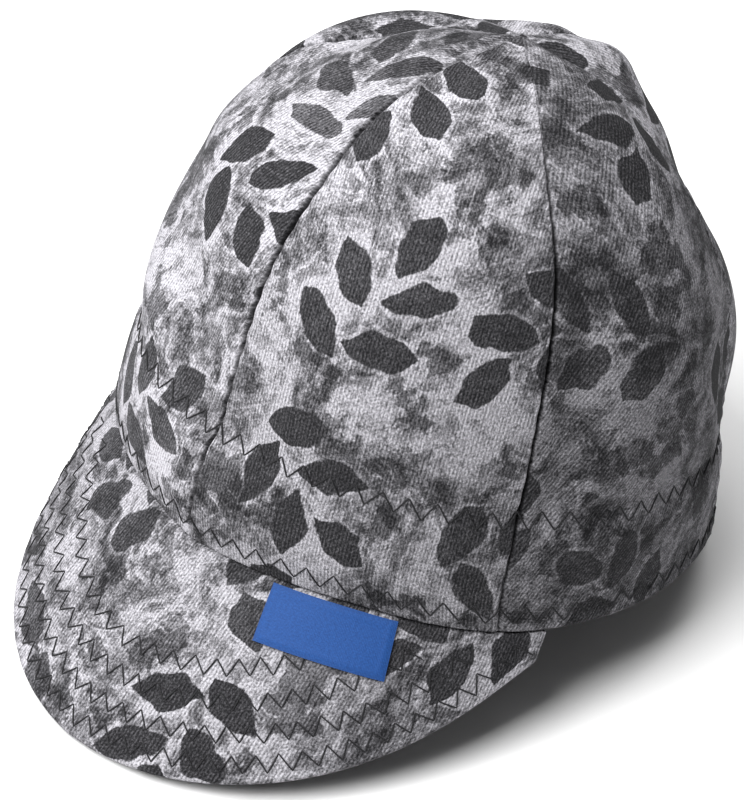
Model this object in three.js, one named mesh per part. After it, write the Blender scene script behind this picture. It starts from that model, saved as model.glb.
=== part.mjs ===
// A welding cap: a soft crown of six panels with its hem turned up inside, a short quilted brim tucked under the
// hem, and a small woven label on the brim. Millimetres, +Z up. The brim faces -Y and the wearer's left is +X.
// The cap lies as it does on a table, on the brim's edge and the back of the hem.
import * as THREE from 'three';

// Crown sizes
const crownHeight = 145;
const crownHalfWidth = 95;
const crownHalfLength = 93;
const apexForward = 2;
const apexLeft = 1.4;
const tipRadius = 0.9;
const clothWall = 1.5;
const hemTurn = 39;
const hemWave = 6;
const panelPuff = 2;
const hemPinch = 1.2;
const pinchWidth = 7;
const foldDepth = 3;

// Brim sizes, its ends as turns from the front centre and its slopes below the hem's plane, in degrees
const brimReach = 67.5;
const brimWall = 3;
const brimTuck = 9;
const brimEndReach = 10;
const brimLeftEnd = 69;
const brimRightEnd = 63;
const brimSlope = 59;
const brimLeftSlope = 64;
const brimRightSlope = 69;
const brimBow = 2;
const brimFan = 0.36;
const brimEndSharpness = 2.5;
const brimEdgeRoundness = 1.14;

// Label sizes
const labelWidth = 37.5;
const labelDrop = 17.5;
const labelWall = 0.8;
const labelFromSeam = 32;
const labelBelowHem = 0.5;

// Clearances, and how far the cloth is pressed flat where it lies on the table
const seamGap = 0.3;
const layGap = 0.3;
const restPress = 1.5;

// Rings of the crown at even steps of the climb from the hem to the apex. Rise is a share of the crown's height,
// width of its half width, and front and back of its half length.
const crownRings = [
  { rise: 0.0, width: 1.0, front: 1.0, back: 1.0 },
  { rise: 0.09, width: 0.985, front: 1.03, back: 0.965 },
  { rise: 0.25, width: 0.968, front: 1.01, back: 0.915 },
  { rise: 0.43, width: 0.932, front: 0.97, back: 0.85 },
  { rise: 0.6, width: 0.87, front: 0.91, back: 0.74 },
  { rise: 0.75, width: 0.745, front: 0.79, back: 0.585 },
  { rise: 0.87, width: 0.535, front: 0.6, back: 0.455 },
  { rise: 0.96, width: 0.285, front: 0.335, back: 0.3 },
  { rise: 1.0, width: 0.0, front: 0.0, back: 0.0 },
];

// Height of the hem's edge above its plane at even steps from the front to the back, as a share of the wave
const hemRows = [
  { lift: -0.6 },
  { lift: 0.05 },
  { lift: -0.05 },
  { lift: 0.6 },
  { lift: 1.2 },
  { lift: -0.3 },
  { lift: 0.1 },
];

// Folds and dents of the soft crown. Turn and spread are degrees about the crown, climb and length shares of the
// climb, and depth a share of the fold depth, in for a dent and out for a swell.
const crownFolds = [
  { turn: 66, spread: 5, climb: 0.4, length: 0.2, depth: -0.8 },
  { turn: 78, spread: 9, climb: 0.35, length: 0.16, depth: 0.5 },
  { turn: -68, spread: 24, climb: 0.72, length: 0.12, depth: 0.8 },
  { turn: -50, spread: 16, climb: 0.56, length: 0.06, depth: 0.8 },
  { turn: -115, spread: 32, climb: 0.87, length: 0.08, depth: -0.8 },
  { turn: 192, spread: 24, climb: 0.91, length: 0.06, depth: 0.6 },
  { turn: -12, spread: 6, climb: 0.33, length: 0.12, depth: -0.5 },
  { turn: 24, spread: 12, climb: 0.3, length: 0.07, depth: 0.4 },
  { turn: 140, spread: 18, climb: 0.64, length: 0.1, depth: -0.8 },
  { turn: 162, spread: 22, climb: 0.83, length: 0.09, depth: 0.9 },
  { turn: 150, spread: 16, climb: 0.4, length: 0.1, depth: 0.4 },
  { turn: -110, spread: 8, climb: 0.45, length: 0.15, depth: -0.6 },
  { turn: 196, spread: 12, climb: 0.6, length: 0.1, depth: -0.6 },
];

// The panels in order around the crown, each from one seam to the next
const panelNames = [
  'crown_panel_front_left',
  'crown_panel_side_left',
  'crown_panel_back_left',
  'crown_panel_back_right',
  'crown_panel_side_right',
  'crown_panel_front_right',
];
const panelTurn = 360 / panelNames.length;
const hemWall = 2 * clothWall;
const ledgeLength = 2;

// Fineness of the faceted walls
const panelColumns = 10;
const tuckSteps = 2;
const hemSteps = 3;
const crownSteps = 15;
const brimStep = panelTurn / panelColumns / 2;
const brimSteps = 8;
const brimEndMargin = 0.3;
const labelColumns = 8;
const labelSteps = 4;
const measureSteps = 240;

const radians = THREE.MathUtils.degToRad;

// Smooth value of a table's column, a share of the way down its evenly spaced rows
function tableValue(table, column, share) {
  const last = table.length - 1;
  const place = THREE.MathUtils.clamp(share, 0, 1) * last;
  const row = Math.min(Math.floor(place), last - 1);
  const t = place - row;
  const b = table[row][column];
  const c = table[row + 1][column];
  const a = row > 0 ? table[row - 1][column] : 2 * b - c;
  const d = row + 2 <= last ? table[row + 2][column] : 2 * c - b;
  return 0.5 * (2 * b + (c - a) * t + (2 * a - 5 * b + 4 * c - d) * t * t + (3 * b - a - 3 * c + d) * t ** 3);
}

// Turn as degrees from the front, the same on both sides
function sideTurn(turn) {
  return Math.abs(THREE.MathUtils.euclideanModulo(turn + 180, 360) - 180);
}

// Point of the crown's smooth form, in the crown's own frame with the hem's plane level
function crownForm(turn, climb) {
  const angle = radians(turn);
  const rise = tableValue(crownRings, 'rise', climb);
  const length = tableValue(crownRings, Math.cos(angle) > 0 ? 'front' : 'back', climb);
  const lift = hemWave * tableValue(hemRows, 'lift', sideTurn(turn) / 180);
  const lean = climb ** 1.5;
  return new THREE.Vector3(
    crownHalfWidth * tableValue(crownRings, 'width', climb) * Math.sin(angle) + apexLeft * lean,
    -crownHalfLength * length * Math.cos(angle) - apexForward * lean,
    crownHeight * rise + lift * Math.max(0, 1 - rise) ** 1.5
  );
}

// Directions at a point of the crown: along the hoop, up the wall, and out of the wall
function crownDirections(turn, climb) {
  const turnStep = 0.5;
  const climbStep = 0.004;
  const low = Math.max(0, climb - climbStep);
  const high = Math.min(1, climb + climbStep);
  const around = crownForm(turn + turnStep, climb).sub(crownForm(turn - turnStep, climb)).normalize();
  const up = crownForm(turn, high).sub(crownForm(turn, low)).normalize();
  const out = around.clone().cross(up).normalize();
  return { around, up, out };
}

// Climb at a distance up the wall from the hem
function climbAtLength(turn, length) {
  let before = crownForm(turn, 0);
  let walked = 0;
  for (let step = 1; step <= measureSteps; step++) {
    const here = crownForm(turn, step / measureSteps);
    const stride = here.distanceTo(before);
    if (walked + stride >= length) return (step - 1 + (length - walked) / stride) / measureSteps;
    walked += stride;
    before = here;
  }
  return 1;
}

// Turn at a distance along the hem from the front centre
function turnAtHemLength(length) {
  let before = crownForm(0, 0);
  let walked = 0;
  for (let step = 1; step <= measureSteps; step++) {
    const turn = (step * 180) / measureSteps;
    const here = crownForm(turn, 0);
    const stride = here.distanceTo(before);
    if (walked + stride >= length) return turn - (180 / measureSteps) * (1 - (length - walked) / stride);
    walked += stride;
    before = here;
  }
  return 180;
}

const seamMiddle = panelTurn / 2;
const tuckClimb = climbAtLength(seamMiddle, brimTuck);
const hemClimb = climbAtLength(seamMiddle, hemTurn);
const pinchClimb = climbAtLength(seamMiddle, hemTurn + pinchWidth) - hemClimb;

// How far the soft cloth stands out from the smooth form: fuller between seams, drawn in along the hem's top
// stitching, folded where the table says, and smooth where the brim is sewn in
function clothSwell(turn, climb) {
  const across = THREE.MathUtils.euclideanModulo(turn, panelTurn) / panelTurn;
  const fullness = Math.sin(Math.PI * climb) ** 0.7 * Math.sin(Math.PI * across) ** 2;
  const pinch = Math.exp(-(((climb - hemClimb) / pinchClimb) ** 2));
  let swell = panelPuff * (fullness - 0.5 * Math.sin(Math.PI * climb)) - hemPinch * pinch;
  for (const fold of crownFolds) {
    const aside = (THREE.MathUtils.euclideanModulo(turn - fold.turn + 180, 360) - 180) / fold.spread;
    const above = (climb - fold.climb) / fold.length;
    swell += foldDepth * fold.depth * Math.exp(-(aside ** 2) - above ** 2);
  }
  return swell * THREE.MathUtils.smoothstep(climb, tuckClimb, hemClimb);
}

// Point of the crown's cloth, an inset of zero on its outer face
function crownPoint(turn, climb, inset) {
  const { out } = crownDirections(turn, climb);
  return crownForm(turn, climb).addScaledVector(out, clothSwell(turn, climb) - inset);
}

// Closed body between an outer and an inner sheet of points that have the same rows and columns
function wallBetween(outer, inner) {
  const rows = outer.length;
  const columns = outer[0].length;
  const points = [...outer.flat(), ...inner.flat()];
  const index = (row, column) => row * columns + column;
  const behind = rows * columns;
  const faces = [];
  for (let row = 0; row < rows - 1; row++) {
    for (let column = 0; column < columns - 1; column++) {
      const a = index(row, column);
      const b = index(row, column + 1);
      const c = index(row + 1, column + 1);
      const d = index(row + 1, column);
      faces.push(a, b, c, a, c, d);
      faces.push(behind + a, behind + c, behind + b, behind + a, behind + d, behind + c);
    }
  }
  const rim = [];
  for (let column = 0; column < columns - 1; column++) rim.push(index(0, column));
  for (let row = 0; row < rows - 1; row++) rim.push(index(row, columns - 1));
  for (let column = columns - 1; column > 0; column--) rim.push(index(rows - 1, column));
  for (let row = rows - 1; row > 0; row--) rim.push(index(row, 0));
  rim.forEach((here, place) => {
    const next = rim[(place + 1) % rim.length];
    faces.push(next, here, behind + here, next, behind + here, behind + next);
  });
  const geometry = new THREE.BufferGeometry().setFromPoints(points);
  geometry.setIndex(faces);
  geometry.computeVertexNormals();
  return geometry;
}

// Climb where the panels end, so that their tips leave a hole of the tip radius at the apex
function tipClimb() {
  let low = 0.9;
  let high = 1;
  for (let step = 0; step < 40; step++) {
    const middle = (low + high) / 2;
    if (crownHalfWidth * tableValue(crownRings, 'width', middle) > tipRadius) low = middle;
    else high = middle;
  }
  return low;
}

// Rows of a panel from the hem's fold to its tip, with the wall that each has
function panelRows() {
  const rows = [];
  for (let step = 0; step < tuckSteps; step++) {
    rows.push({ climb: (tuckClimb * step) / tuckSteps, wall: hemWall });
  }
  for (let step = 0; step <= hemSteps; step++) {
    rows.push({ climb: tuckClimb + ((hemClimb - tuckClimb) * step) / hemSteps, wall: hemWall });
  }
  const above = climbAtLength(seamMiddle, hemTurn + ledgeLength);
  const tip = tipClimb();
  for (let step = 0; step <= crownSteps; step++) {
    rows.push({ climb: above + ((tip - above) * step) / crownSteps, wall: clothWall });
  }
  return rows;
}

// One gore of the crown, from the seam at its start turn to the next seam
function panelGeometry(start, press) {
  const outer = [];
  const inner = [];
  for (const { climb, wall } of panelRows()) {
    const outerRow = [];
    const innerRow = [];
    for (let column = 0; column <= panelColumns; column++) {
      const turn = start + (panelTurn * column) / panelColumns;
      const aside = column === 0 ? seamGap / 2 : column === panelColumns ? -seamGap / 2 : 0;
      const { around } = crownDirections(turn, climb);
      for (const [row, inset] of [[outerRow, 0], [innerRow, wall]]) {
        const point = crownPoint(turn, climb, inset).addScaledVector(around, aside);
        row.push(climb === 0 ? press(point) : point);
      }
    }
    outer.push(outerRow);
    inner.push(innerRow);
  }
  return wallBetween(outer, inner);
}

// The way the brim runs out from under the hem at a turn, its reach there and its upper face's normal
function brimRun(turn) {
  const end = turn > 0 ? brimLeftEnd : brimRightEnd;
  const endSlope = turn > 0 ? brimLeftSlope : brimRightSlope;
  const share = Math.min(1, Math.abs(turn) / end);
  const slope = radians(brimSlope + (endSlope - brimSlope) * share ** 2);
  const heading = radians(turn) * brimFan;
  const way = new THREE.Vector3(
    Math.sin(heading) * Math.cos(slope),
    -Math.cos(heading) * Math.cos(slope),
    -Math.sin(slope)
  );
  const roundness = (1 - share ** brimEndSharpness) ** brimEdgeRoundness;
  const reach = brimEndReach + (brimReach - brimEndReach) * roundness;
  const normal = crownDirections(turn, 0).around.cross(way.clone().negate()).normalize();
  return { way, reach, normal };
}

// Point of the brim's upper face, a distance below the hem
function brimPoint(turn, distance) {
  const { way, reach, normal } = brimRun(turn);
  const bow = brimBow * Math.sin(Math.PI * Math.min(1, distance / reach)) * (reach / brimReach);
  const start = crownPoint(turn, 0, 0).addScaledVector(crownDirections(turn, 0).up, -layGap);
  return start.addScaledVector(way, distance).addScaledVector(normal, bow);
}

// Normal that keeps a wall's thickness where two of its faces meet
function mitre(first, second) {
  return first.clone().add(second).divideScalar(1 + first.dot(second));
}

// The brim's upper points at a turn, from the top of its tuck inside the hem to its edge, with the wall's way down
function brimColumn(turn) {
  const { out, up } = crownDirections(turn, 0);
  const { reach, normal } = brimRun(turn);
  const column = [];
  for (let step = tuckSteps; step > 0; step--) {
    const climb = (tuckClimb * step) / tuckSteps;
    const normalThere = crownDirections(turn, climb).out;
    column.push({ point: crownPoint(turn, climb, hemWall + layGap), normal: normalThere });
  }
  const corner = crownPoint(turn, 0, hemWall + layGap).addScaledVector(up, -layGap);
  column.push({ point: corner, normal: mitre(out, up) });
  column.push({ point: brimPoint(turn, 0), normal: mitre(up, normal) });
  for (let step = 1; step <= brimSteps; step++) {
    column.push({ point: brimPoint(turn, (reach * step) / brimSteps), normal });
  }
  return column;
}

// Turns of the brim's columns: its two ends, and between them the even steps that keep a margin from both
function brimTurns() {
  const turns = [-brimRightEnd];
  const margin = brimStep * brimEndMargin;
  const first = Math.ceil((margin - brimRightEnd) / brimStep);
  for (let step = first; step * brimStep < brimLeftEnd - margin; step++) {
    turns.push(step * brimStep);
  }
  turns.push(brimLeftEnd);
  return turns;
}

// The brim's upper and lower sheets, a row for each step from its edge up to its tuck
function brimSheets() {
  const columns = brimTurns().map(brimColumn);
  const steps = columns[0].map((_, step) => step).reverse();
  const upper = steps.map((step) => columns.map((column) => column[step].point.clone()));
  const lower = steps.map((step) =>
    columns.map((column) => column[step].point.clone().addScaledVector(column[step].normal, -brimWall))
  );
  return { upper, lower };
}

// The label lies on the brim's upper face just below the hem, square to it, on the wearer's left of the front seam
function labelGeometry() {
  const outer = [];
  const inner = [];
  const middleTurn = turnAtHemLength(labelFromSeam + labelWidth / 2);
  const slant = Math.asin(brimRun(middleTurn).way.dot(crownDirections(middleTurn, 0).around));
  for (let step = labelSteps; step >= 0; step--) {
    const drop = labelBelowHem + (labelDrop * step) / labelSteps;
    const outerRow = [];
    const innerRow = [];
    for (let column = 0; column <= labelColumns; column++) {
      const along = labelFromSeam + (labelWidth * column) / labelColumns - drop * Math.tan(slant);
      const turn = turnAtHemLength(along);
      const { normal } = brimRun(turn);
      const base = brimPoint(turn, drop / Math.cos(slant));
      outerRow.push(base.clone().addScaledVector(normal, layGap + labelWall));
      innerRow.push(base.clone().addScaledVector(normal, layGap));
    }
    outer.push(outerRow);
    inner.push(innerRow);
  }
  return wallBetween(outer, inner);
}

// Height of a point over the hem's plane once the crown leans back by an angle
function heightAt(point, lean) {
  return point.z * Math.cos(lean) - point.y * Math.sin(lean);
}

// The lean that sets both the brim's edge and the pressed back of the hem on the table
function restingLean(brimPoints, hemPoints) {
  const lowest = (points, lean) => Math.min(...points.map((point) => heightAt(point, lean)));
  let low = 0;
  let high = Math.PI / 4;
  for (let step = 0; step < 50; step++) {
    const lean = (low + high) / 2;
    if (lowest(brimPoints, lean) < lowest(hemPoints, lean) + restPress) low = lean;
    else high = lean;
  }
  return { lean: low, table: lowest(hemPoints, low) + restPress };
}

const brim = brimSheets();
const hemEdge = [];
for (let column = 0; column < panelNames.length * panelColumns; column++) {
  const turn = (panelTurn * column) / panelColumns;
  hemEdge.push(crownPoint(turn, 0, 0), crownPoint(turn, 0, hemWall));
}
const { lean, table } = restingLean([...brim.upper.flat(), ...brim.lower.flat()], hemEdge);
const tableUp = new THREE.Vector3(0, -Math.sin(lean), Math.cos(lean));
const pressFlat = (point) => point.addScaledVector(tableUp, Math.max(0, table - heightAt(point, lean)));

const printedTwill = new THREE.MeshStandardMaterial({ color: '#8b8b90', roughness: 0.92, metalness: 0 });
const shadedTwill = new THREE.MeshStandardMaterial({ color: '#7c7c82', roughness: 0.92, metalness: 0 });
const quiltedTwill = new THREE.MeshStandardMaterial({ color: '#84848a', roughness: 0.94, metalness: 0 });
const wovenLabel = new THREE.MeshStandardMaterial({ color: '#2b5fae', roughness: 0.7, metalness: 0 });

function addPiece(group, name, geometry, material) {
  const piece = new THREE.Mesh(geometry, material);
  piece.name = name;
  group.add(piece);
}

// The cap leans back on the table, and its box's bottom centre is the origin
const leaning = new THREE.Group();
panelNames.forEach((name, place) => {
  const material = place % 2 === 0 ? printedTwill : shadedTwill;
  addPiece(leaning, name, panelGeometry(place * panelTurn, pressFlat), material);
});
addPiece(leaning, 'brim', wallBetween(brim.upper, brim.lower), quiltedTwill);
addPiece(leaning, 'label', labelGeometry(), wovenLabel);
leaning.rotation.x = -lean;
leaning.position.z = -table;

const cap = new THREE.Group();
cap.add(leaning);
cap.updateMatrixWorld(true);
const middle = new THREE.Box3().setFromObject(cap, true).getCenter(new THREE.Vector3());
leaning.position.x = -middle.x;
leaning.position.y = -middle.y;

export default cap;
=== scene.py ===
# %% [markdown]
# # A welding cap, sewn from printed twill
# The cap is a soft crown of six panels, a quilted brim and a small woven label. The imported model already
# holds each of them as a faceted solid at its real size. This notebook dresses that model: every cloth piece
# is made again as a fine sheet over the same form, then stitched and printed.

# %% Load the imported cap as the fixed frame
import math

import bpy
import numpy as np
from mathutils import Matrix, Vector


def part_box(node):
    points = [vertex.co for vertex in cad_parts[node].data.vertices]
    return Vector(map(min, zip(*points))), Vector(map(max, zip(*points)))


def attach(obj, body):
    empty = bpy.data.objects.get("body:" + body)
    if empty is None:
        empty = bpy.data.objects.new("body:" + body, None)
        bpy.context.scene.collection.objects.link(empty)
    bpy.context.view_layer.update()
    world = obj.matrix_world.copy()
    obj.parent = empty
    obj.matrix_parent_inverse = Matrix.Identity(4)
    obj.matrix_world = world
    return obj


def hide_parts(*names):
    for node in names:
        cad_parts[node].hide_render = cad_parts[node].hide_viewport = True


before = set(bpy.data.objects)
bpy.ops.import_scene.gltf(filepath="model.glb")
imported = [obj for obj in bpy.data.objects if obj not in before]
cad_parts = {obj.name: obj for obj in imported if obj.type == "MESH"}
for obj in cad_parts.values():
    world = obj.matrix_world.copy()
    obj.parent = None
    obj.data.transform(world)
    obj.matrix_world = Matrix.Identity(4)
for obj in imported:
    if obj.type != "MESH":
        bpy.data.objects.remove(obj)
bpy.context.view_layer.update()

MM = 0.001

# %% [markdown]
# ## Where the camera stands
# The photo looks down on the front of the cap's left side. The camera is aimed from the middle of the crown
# by an azimuth, measured from the front towards the wearer's left, and an elevation. A long lens from most of
# a metre away gives the photo's mild perspective. A camera could be placed by eye, but these numbers were
# fitted to the cap's outline, seams and stitch rows, so they bring back the same view each time.

# %% Camera
PHOTO_HEIGHT = 800
CAMERA_AZIMUTH = math.radians(47.2)
CAMERA_ELEVATION = math.radians(40.2)
CAMERA_DISTANCE = 943.5 * MM
FOCAL_PIXELS = 3155.5
SENSOR = 36.0
AIM_HEIGHT = 80 * MM
AIM_RIGHT = -13.1 * MM
AIM_UP = -23.8 * MM
CROWN_BEHIND_MIDDLE = 23.85 * MM


def camera_axes():
    """The camera's back, right and up directions."""
    across, down = math.cos(CAMERA_ELEVATION), math.sin(CAMERA_ELEVATION)
    back = np.array([math.sin(CAMERA_AZIMUTH) * across, -math.cos(CAMERA_AZIMUTH) * across, down])
    right = np.array([math.cos(CAMERA_AZIMUTH), math.sin(CAMERA_AZIMUTH), 0.0])
    return back, right, np.cross(back, right)


def add_camera():
    back, right, up = camera_axes()
    aim = np.array([0.0, CROWN_BEHIND_MIDDLE, AIM_HEIGHT]) + right * AIM_RIGHT + up * AIM_UP
    bpy.ops.object.camera_add(location=aim + back * CAMERA_DISTANCE)
    camera = bpy.context.object
    camera.rotation_euler = (math.pi / 2 - CAMERA_ELEVATION, 0, CAMERA_AZIMUTH)
    camera.data.lens = FOCAL_PIXELS / PHOTO_HEIGHT * SENSOR
    camera.data.sensor_width = SENSOR
    bpy.context.scene.camera = camera
    return camera


bpy.ops.object.select_all(action="DESELECT")
camera = add_camera()
print("Camera with a", round(camera.data.lens), "mm lens at", [round(v, 3) for v in camera.location])

# %% [markdown]
# ## The crown's form
# A ball could be pushed about until it looks like a cap. Here the form is a function instead, because a
# function can be asked for any point, which the hem, the stitches and the print all need. A point is given by
# its turn, in degrees from the front centre towards the wearer's left, and its climb, from 0 at the hem to 1
# at the apex. A short table of rings gives the shape, and a second one the folds of the soft cloth. They are
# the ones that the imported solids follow, in millimetres, so the fine cloth lies where the solids are.

# %% Sizes of the crown
CROWN_HEIGHT, CROWN_HALF_WIDTH, CROWN_HALF_LENGTH = 145.0, 95.0, 93.0
APEX_FORWARD, APEX_LEFT, APEX_EASE = 2.0, 1.4, 1.5
HEM_TURN, HEM_WALL = 39.0, 3.0
HEM_WAVE, HEM_WAVE_EASE = 6.0, 1.5
PANEL_PUFF, PUFF_EASE, FOLD_DEPTH = 2.0, 0.7, 3.0
HEM_PINCH, PINCH_WIDTH = 1.2, 7.0
BRIM_TUCK = 9.0
PANEL_TURN = 60.0

CROWN_RINGS = {
    "rise": [0.0, 0.09, 0.25, 0.43, 0.6, 0.75, 0.87, 0.96, 1.0],
    "width": [1.0, 0.985, 0.968, 0.932, 0.87, 0.745, 0.535, 0.285, 0.0],
    "front": [1.0, 1.03, 1.01, 0.97, 0.91, 0.79, 0.6, 0.335, 0.0],
    "back": [1.0, 0.965, 0.915, 0.85, 0.74, 0.585, 0.455, 0.3, 0.0],
}
HEM_LIFT = [-0.6, 0.05, -0.05, 0.6, 1.2, -0.3, 0.1]
CROWN_FOLDS = [
    dict(turn=66, spread=5, climb=0.4, length=0.2, depth=-0.8),
    dict(turn=78, spread=9, climb=0.35, length=0.16, depth=0.5),
    dict(turn=-68, spread=24, climb=0.72, length=0.12, depth=0.8),
    dict(turn=-50, spread=16, climb=0.56, length=0.06, depth=0.8),
    dict(turn=-115, spread=32, climb=0.87, length=0.08, depth=-0.8),
    dict(turn=192, spread=24, climb=0.91, length=0.06, depth=0.6),
    dict(turn=-12, spread=6, climb=0.33, length=0.12, depth=-0.5),
    dict(turn=24, spread=12, climb=0.3, length=0.07, depth=0.4),
    dict(turn=140, spread=18, climb=0.64, length=0.1, depth=-0.8),
    dict(turn=162, spread=22, climb=0.83, length=0.09, depth=0.9),
    dict(turn=150, spread=16, climb=0.4, length=0.1, depth=0.4),
    dict(turn=-110, spread=8, climb=0.45, length=0.15, depth=-0.6),
    dict(turn=196, spread=12, climb=0.6, length=0.1, depth=-0.6),
]
print(len(CROWN_RINGS["rise"]), "rings and", len(CROWN_FOLDS), "folds give the crown's form")


# %% Functions that read the tables
def table_value(column, share):
    """Smooth value of a table's column, a share of the way down its evenly spaced rows."""
    column = np.asarray(column, float)
    ends = np.concatenate([[2 * column[0] - column[1]], column, [2 * column[-1] - column[-2]]])
    place = np.clip(share, 0, 1) * (len(column) - 1)
    row = np.minimum(place.astype(int), len(column) - 2)
    t = place - row
    a, b, c, d = ends[row], ends[row + 1], ends[row + 2], ends[row + 3]
    return 0.5 * (2 * b + (c - a) * t + (2 * a - 5 * b + 4 * c - d) * t**2 + (3 * b - a - 3 * c + d) * t**3)


def around_turn(turn):
    """A turn brought between -180 and 180 degrees."""
    return (turn + 180) % 360 - 180


def bell(distance, width):
    """A smooth bump's height, as a share, at a distance from its middle."""
    return np.exp(-((distance / width) ** 2))


half_way = table_value(CROWN_RINGS["width"], 0.5) * CROWN_HALF_WIDTH
print("Half way up, the crown's half width is", round(float(half_way), 1), "mm")


# %% Functions that place a point of the smooth crown
def crown_form(turn, climb):
    """Points of the crown's smooth form, with the hem's plane level."""
    turn, climb = np.broadcast_arrays(np.asarray(turn, float), np.asarray(climb, float))
    angle = np.radians(turn)
    rise = table_value(CROWN_RINGS["rise"], climb)
    front, back = table_value(CROWN_RINGS["front"], climb), table_value(CROWN_RINGS["back"], climb)
    length = np.where(np.cos(angle) > 0, front, back)
    lift = HEM_WAVE * table_value(HEM_LIFT, np.abs(around_turn(turn)) / 180)
    lean = np.clip(climb, 0, 1) ** APEX_EASE
    x = CROWN_HALF_WIDTH * table_value(CROWN_RINGS["width"], climb) * np.sin(angle) + APEX_LEFT * lean
    y = -CROWN_HALF_LENGTH * length * np.cos(angle) - APEX_FORWARD * lean
    z = CROWN_HEIGHT * rise + lift * np.maximum(0, 1 - rise) ** HEM_WAVE_EASE
    return np.stack([x, y, z], -1)


def unit(vectors):
    return vectors / np.linalg.norm(vectors, axis=-1, keepdims=True)


def crown_directions(turn, climb):
    """Directions along the hoop, up the wall and out of the wall."""
    turn_step, climb_step = 0.5, 0.004
    climb = np.asarray(climb, float)
    around = unit(crown_form(turn + turn_step, climb) - crown_form(turn - turn_step, climb))
    above = crown_form(turn, np.minimum(1, climb + climb_step))
    up = unit(above - crown_form(turn, np.maximum(0, climb - climb_step)))
    return around, up, unit(np.cross(around, up))


print("The smooth form's apex is at", crown_form(0.0, 1.0).round(1), "mm before the lean")

# %% Lengths up the wall
LENGTH_SAMPLES = 241
WALL_CLIMBS = np.linspace(0, 1, LENGTH_SAMPLES)
wall_steps = np.linalg.norm(np.diff(crown_form(PANEL_TURN / 2, WALL_CLIMBS), axis=0), axis=1)
WALL_LENGTHS = np.concatenate([[0], np.cumsum(wall_steps)])


def climb_at(height):
    """Climb at a distance up the wall from the hem."""
    return np.interp(height, WALL_LENGTHS, WALL_CLIMBS)


TUCK_CLIMB, HEM_CLIMB = climb_at(BRIM_TUCK), climb_at(HEM_TURN)
PINCH_CLIMB = climb_at(HEM_TURN + PINCH_WIDTH) - HEM_CLIMB
print("The wall is", round(WALL_LENGTHS[-1]), "mm long from the hem to the apex")


# %% How far the soft cloth swells
def cloth_swell(turn, climb):
    """How far the soft cloth stands out from the smooth form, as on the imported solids."""
    across = (turn % PANEL_TURN) / PANEL_TURN
    climbing = np.sin(np.pi * np.clip(climb, 0, 1))
    fullness = climbing**PUFF_EASE * np.sin(np.pi * across) ** 2
    swell = PANEL_PUFF * (fullness - 0.5 * climbing)
    swell = swell - HEM_PINCH * bell(climb - HEM_CLIMB, PINCH_CLIMB)
    for fold in CROWN_FOLDS:
        aside = around_turn(turn - fold["turn"]) / fold["spread"]
        above = (climb - fold["climb"]) / fold["length"]
        swell = swell + FOLD_DEPTH * fold["depth"] * np.exp(-(aside**2) - above**2)
    t = np.clip((climb - TUCK_CLIMB) / (HEM_CLIMB - TUCK_CLIMB), 0, 1)
    return swell * t * t * (3 - 2 * t)


print("Middle of a panel, half way up:", round(float(cloth_swell(PANEL_TURN / 2, 0.5)), 2), "mm of swell")

# %% [markdown]
# ## The small relief of sewn cloth
# Seams pull the cloth in, and every row of zigzag stitches gathers it into small puckers. A bump texture
# could shade them, but it would be lost at the outline, so these are real dents in the sheet. Beside the
# stitches they are a few tenths of a millimetre deep, and at the seams up to nearly three millimetres.

# %% Sizes of the relief
SEAM_ROLL, SEAM_ROLL_WIDTH = 2.5, 0.5
SHOULDER, SHOULDER_WIDTH = 0.5, 2.0
LAP, LAP_WIDTH = 0.35, 2.2
LAP_STITCH, LAP_STITCH_DENT, LAP_STITCH_WIDTH = 1.75, 0.2, 0.4
FULL_SEAM_HOOP, LEAST_SEAM = 14.0, 0.12
SEAM_GATHER, SEAM_GATHER_WIDTH, SEAM_GATHER_PITCH = 0.26, 7.0, 7.3
GATHERS_FROM_HOOP, GATHERS_GROW_OVER = 25.0, 45.0
PUCKER_PITCH, SLOW_PUCKER, PUCKER_SPREAD = 8.6, 2.7, 1.8
QUICK_PUCKER_SHARE, SLOW_PUCKER_SHARE = 0.55, 0.3
UPPER_ROW_HEIGHT, UPPER_ROW_DEPTH, UPPER_ROW_WIDTH = 36.0, 0.5, 3.6
LOWER_ROW_HEIGHT, LOWER_ROW_DEPTH, LOWER_ROW_WIDTH = 5.9, 0.28, 3.0
SOFT_WAVE_HEIGHT, WAVES_GROW_OVER, FULL_WAVE_HOOP = 0.34, 30.0, 40.0
SEAM_TIGHTNESS = {
    "climb": [0, HEM_CLIMB, HEM_CLIMB + 0.15, 0.62, 0.88],
    "share": [0.35, 0.6, 0.9, 0.8, 0.15],
}
SOFT_WAVE_COUNT = 9
waves = np.random.default_rng(11)
SOFT_WAVES = [
    dict(around=waves.integers(3, 11), climbs=waves.uniform(1.5, 5), start=waves.uniform(0, 2 * np.pi))
    for wave in range(SOFT_WAVE_COUNT)
]
print("Soft waves:", SOFT_WAVE_COUNT, "each", SOFT_WAVE_HEIGHT, "mm high")


# %% Functions for the relief
def panel_hoop(climb):
    """Length of one panel's hoop at a climb, in millimetres."""
    length = crown_form(0.0, climb)[..., 1] - crown_form(180.0, climb)[..., 1]
    breadth = crown_form(90.0, climb)[..., 0] - crown_form(-90.0, climb)[..., 0]
    return np.pi * (np.abs(length) + np.abs(breadth)) / 2 / (360 / PANEL_TURN)


def seam_tightness(climb):
    """How deep the seams are drawn in, as a share: most on the walls, less on the hem and the top."""
    return np.interp(climb, SEAM_TIGHTNESS["climb"], SEAM_TIGHTNESS["share"])


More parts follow.
